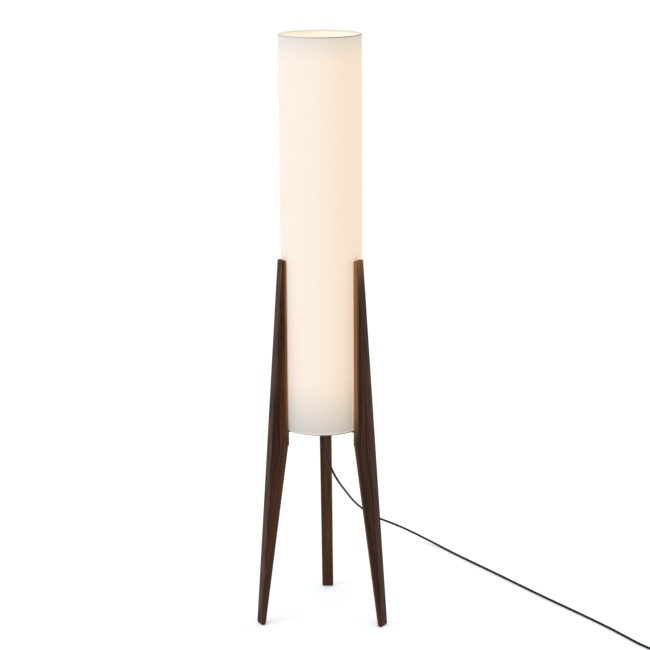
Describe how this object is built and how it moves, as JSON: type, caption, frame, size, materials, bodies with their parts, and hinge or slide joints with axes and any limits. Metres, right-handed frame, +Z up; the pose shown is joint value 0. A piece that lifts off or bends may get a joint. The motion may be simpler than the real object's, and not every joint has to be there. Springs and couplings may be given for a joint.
{
  "type": "tripod floor lamp",
  "caption": "Tripod floor lamp: a tall cylindrical fabric shade held between tapered wooden legs, with bulbs on a central stem and a mains cord with a foot switch.",
  "frame": {"origin": "on the floor, at the centre of the three feet's bounding box; the shade's axis stands 39.6 mm in front of it (at y = -0.0396)", "axes": "+Z up; +Y towards the back leg; +X to the right as seen from the front"},
  "size_m": [1.1295, 0.763, 1.47],
  "materials": {
    "walnut": "dark walnut, satin oil, grain along the leg",
    "felt": "dense dark brown felt",
    "black_steel": "satin black powder coat",
    "zinc": "bright zinc plating",
    "brass": "bare brass",
    "linen": "off-white woven fabric, lit from inside",
    "liner_white": "translucent white shade liner",
    "ring_white": "white powder-coated wire",
    "phenolic": "black moulded plastic",
    "black_nylon": "matt black nylon",
    "black_pvc": "soft black cord sheath",
    "wire_white": "white insulation",
    "opal_glass": "opal glass"
  },
  "bodies": {
    "stand": {"leg_left": "walnut", "leg_right": "walnut", "leg_back": "walnut", "foot_pad_left": "felt", "foot_pad_right": "felt", "foot_pad_back": "felt", "carrier": "black_steel", "leg_screw_left_upper": "black_steel", "leg_screw_left_lower": "black_steel", "leg_screw_right_upper": "black_steel", "leg_screw_right_lower": "black_steel", "leg_screw_back_upper": "black_steel", "leg_screw_back_lower": "black_steel", "stem": "zinc", "hub_washer_upper": "zinc", "hub_nut_upper": "zinc", "hub_washer_lower": "zinc", "hub_nut_lower": "zinc", "side_plate": "black_steel", "plate_nut_upper": "zinc", "plate_nut_lower": "zinc", "nipple": "zinc", "nipple_nut": "zinc", "holder_upper_cap": "phenolic", "holder_upper_shell": "phenolic", "holder_upper_contact": "brass", "holder_upper_sleeve": "brass", "holder_lower_cap": "phenolic", "holder_lower_shell": "phenolic", "holder_lower_contact": "brass", "holder_lower_sleeve": "brass", "cord_grip": "black_nylon", "grip_screw": "zinc", "wire_upper": "wire_white", "wire_lower": "wire_white", "cord_lead": "black_pvc", "cord_link": "black_pvc", "cord_coil": "black_pvc", "cord_tail": "black_pvc", "switch_base": "phenolic", "switch_cover": "phenolic", "switch_block": "wire_white", "plug_body": "black_pvc", "plug_pin_a": "zinc", "plug_pin_b": "zinc"},
    "shade": {"shade_fabric": "linen", "shade_liner": "liner_white", "shade_ring_bottom": "ring_white", "shade_ring_top": "ring_white"},
    "bulb_upper": {"bulb_upper_cap": "zinc", "bulb_upper_envelope": "opal_glass"},
    "bulb_lower": {"bulb_lower_cap": "zinc", "bulb_lower_envelope": "opal_glass"},
    "button": {"switch_button": "phenolic"}
  },
  "joints": [
    {"name": "shade_lift", "type": "slide", "parent": "stand", "child": "shade", "axis": [0, 0, 1], "range_m": [0, 0.76]},
    {"name": "bulb_upper_unscrew", "type": "slide", "parent": "stand", "child": "bulb_upper", "axis": [0, 0, 1], "range_m": [0, 0.035]},
    {"name": "bulb_lower_unscrew", "type": "slide", "parent": "stand", "child": "bulb_lower", "axis": [0, 0, 1], "range_m": [0, 0.035]},
    {"name": "switch_press", "type": "slide", "parent": "stand", "child": "button", "axis": [0, 0, -1], "range_m": [0, 0.003], "stiffness_N_per_m": 500, "springref_m": -0.003}
  ]
}
